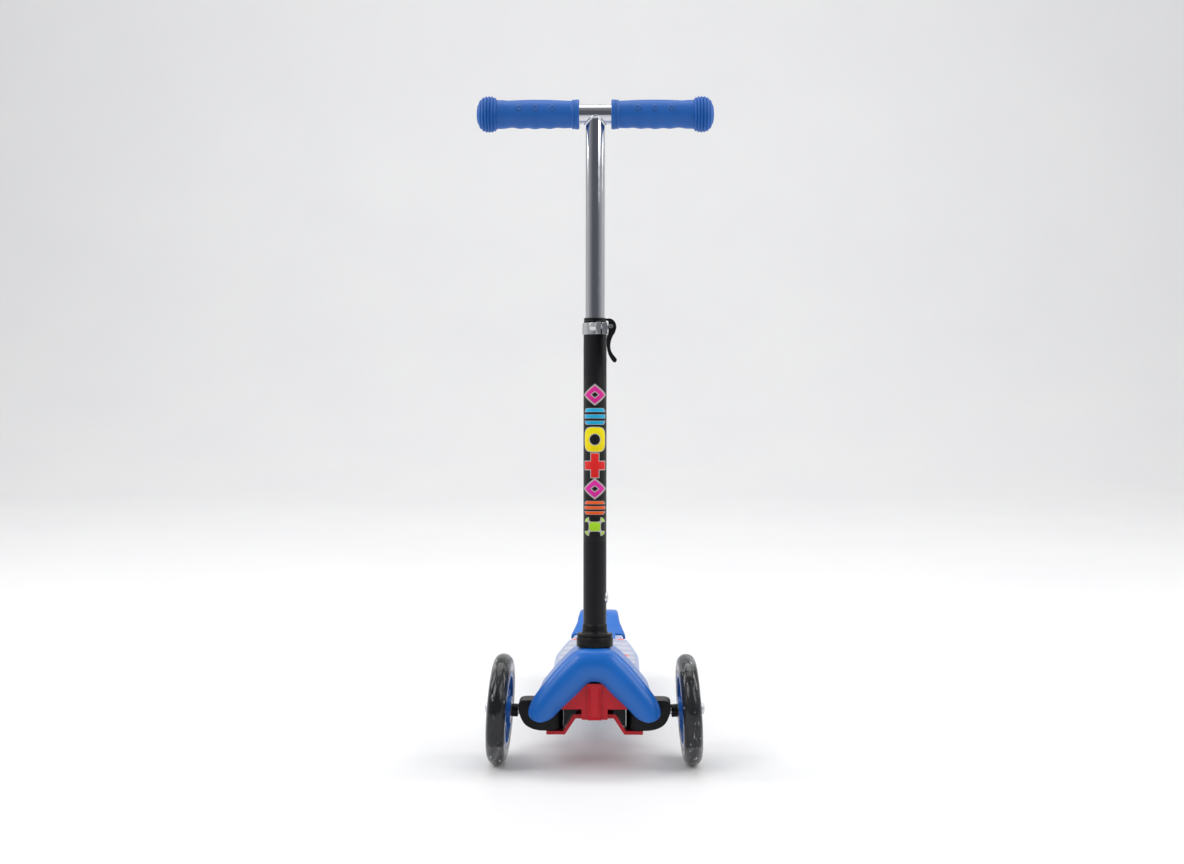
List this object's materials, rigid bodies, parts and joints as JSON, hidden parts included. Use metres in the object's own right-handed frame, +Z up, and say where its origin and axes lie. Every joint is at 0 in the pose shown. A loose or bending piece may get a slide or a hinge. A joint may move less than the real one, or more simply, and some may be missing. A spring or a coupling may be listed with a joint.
{
  "type": "kick scooter",
  "caption": "Child's lean-to-steer kick scooter: telescopic T-handlebar, two front wheels, a rear wheel under a brake fender, and a low footboard.",
  "frame": {"origin": "on the floor, under the centre of the object's box", "axes": "+Z up, the front of the scooter faces -Y, +X is the side of the clamp lever (the rider's left)"},
  "size_m": [0.256, 0.5275, 0.7203],
  "materials": {
    "blue_plastic": "satin moulded",
    "blue_rubber": "soft moulded grip",
    "red_plastic": "satin moulded",
    "black_plastic": "fine spark texture",
    "black_tube": "satin powder coat",
    "tyre_clear": "smoky clear polyurethane",
    "chrome": "bright",
    "steel": "zinc plated",
    "deck_plastic": "pale translucent",
    "deck_print": "printed with bands"
  },
  "bodies": {
    "chassis": {"deck": "deck_plastic", "deck_pad": "deck_print", "chassis_nose": "red_plastic", "chassis_screw_1": "steel", "chassis_screw_2": "steel", "chassis_screw_3": "steel", "chassis_screw_4": "steel", "left_kingpin": "steel", "right_kingpin": "steel", "lean_pivot_bolt": "steel", "lean_pivot_nut": "steel", "left_centring_spring": "steel", "right_centring_spring": "steel", "rear_axle_bolt": "steel", "rear_axle_nut": "steel", "rear_left_spacer": "black_plastic", "rear_right_spacer": "black_plastic", "brake_hinge_pin": "steel", "brake_spring": "steel", "left_lean_stop": "black_plastic", "right_lean_stop": "black_plastic"},
    "stem": {"steering_head": "black_plastic", "steering_hood": "blue_plastic", "stem_socket": "black_plastic", "lower_tube": "black_tube", "tube_collar": "black_plastic", "clamp_band": "steel", "clamp_bolt": "steel", "clamp_nut": "steel", "button_spring": "steel"},
    "lever": {"clamp_lever": "black_plastic", "cam_pin": "steel"},
    "button": {"release_button": "black_plastic"},
    "handlebar": {"t_bar": "chrome", "inner_tube_plug": "black_plastic", "left_grip": "blue_rubber", "right_grip": "blue_rubber"},
    "tie_rod": {"tie_rod": "black_plastic"},
    "left_arm": {"left_steering_arm": "black_plastic", "left_axle_bolt": "steel", "left_axle_nut": "steel", "left_axle_spacer": "black_plastic"},
    "right_arm": {"right_steering_arm": "black_plastic", "right_axle_bolt": "steel", "right_axle_nut": "steel", "right_axle_spacer": "black_plastic"},
    "left_wheel": {"left_tyre": "tyre_clear", "left_wheel_core": "blue_plastic", "left_inner_bearing": "steel", "left_outer_bearing": "steel"},
    "right_wheel": {"right_tyre": "tyre_clear", "right_wheel_core": "blue_plastic", "right_inner_bearing": "steel", "right_outer_bearing": "steel"},
    "rear_wheel": {"rear_tyre": "tyre_clear", "rear_wheel_core": "blue_plastic", "rear_left_bearing": "steel", "rear_right_bearing": "steel"},
    "brake": {"brake_fender": "blue_plastic", "brake_pad": "black_plastic"}
  },
  "joints": [
    {"name": "lean", "type": "hinge", "parent": "chassis", "child": "stem", "pos_m": [0, -0.20376, 0.1], "axis": [0, 0.9976, -0.0698], "range_deg": [-8, 8], "stiffness_Nm_per_rad": 25, "deforming": ["left_centring_spring", "right_centring_spring"]},
    {"name": "left_steer", "type": "hinge", "parent": "chassis", "child": "left_arm", "pos_m": [-0.043, -0.20376, 0.055], "axis": [0, 0, 1], "range_deg": [-12.2, 12.2]},
    {"name": "right_steer", "type": "hinge", "parent": "chassis", "child": "right_arm", "pos_m": [0.043, -0.20376, 0.055], "axis": [0, 0, 1], "range_deg": [-12.2, 12.2]},
    {"name": "tie_rod_slide", "type": "slide", "parent": "chassis", "child": "tie_rod", "axis": [1, 0, 0], "range_m": [-0.0052, 0.0052]},
    {"name": "height", "type": "slide", "parent": "stem", "child": "handlebar", "axis": [0, 0.0698, 0.9976], "range_m": [-0.16, 0.02]},
    {"name": "clamp", "type": "hinge", "parent": "stem", "child": "lever", "pos_m": [0.0173, -0.19672, 0.47292], "axis": [0, -0.9976, 0.0698], "range_deg": [0, 110]},
    {"name": "release", "type": "slide", "parent": "stem", "child": "button", "axis": [-1, 0, 0], "range_m": [0, 0.0035], "stiffness_N_per_m": 300, "springref_m": -0.003, "deforming": ["button_spring"]},
    {"name": "left_wheel_spin", "type": "hinge", "parent": "left_arm", "child": "left_wheel", "pos_m": [-0.102, -0.20376, 0.05991], "axis": [0.9972, -0.0435, -0.061], "continuous": true},
    {"name": "right_wheel_spin", "type": "hinge", "parent": "right_arm", "child": "right_wheel", "pos_m": [0.102, -0.20376, 0.05991], "axis": [0.9972, 0.0435, 0.061], "continuous": true},
    {"name": "rear_wheel_spin", "type": "hinge", "parent": "chassis", "child": "rear_wheel", "pos_m": [0, 0.21624, 0.04], "axis": [1, 0, 0], "continuous": true},
    {"name": "brake_press", "type": "hinge", "parent": "chassis", "child": "brake", "pos_m": [0, 0.14624, 0.07], "axis": [-1, 0, 0], "range_deg": [0, 3.5], "stiffness_Nm_per_rad": 6, "springref_deg": -3.44, "deforming": ["brake_spring"]}
  ],
  "couplings": [
    {"joint": "left_steer", "follows": "lean", "ratio": 1.4972},
    {"joint": "right_steer", "follows": "lean", "ratio": 1.4972},
    {"joint": "tie_rod_slide", "follows": "lean", "m_per_rad": -0.035934}
  ]
}
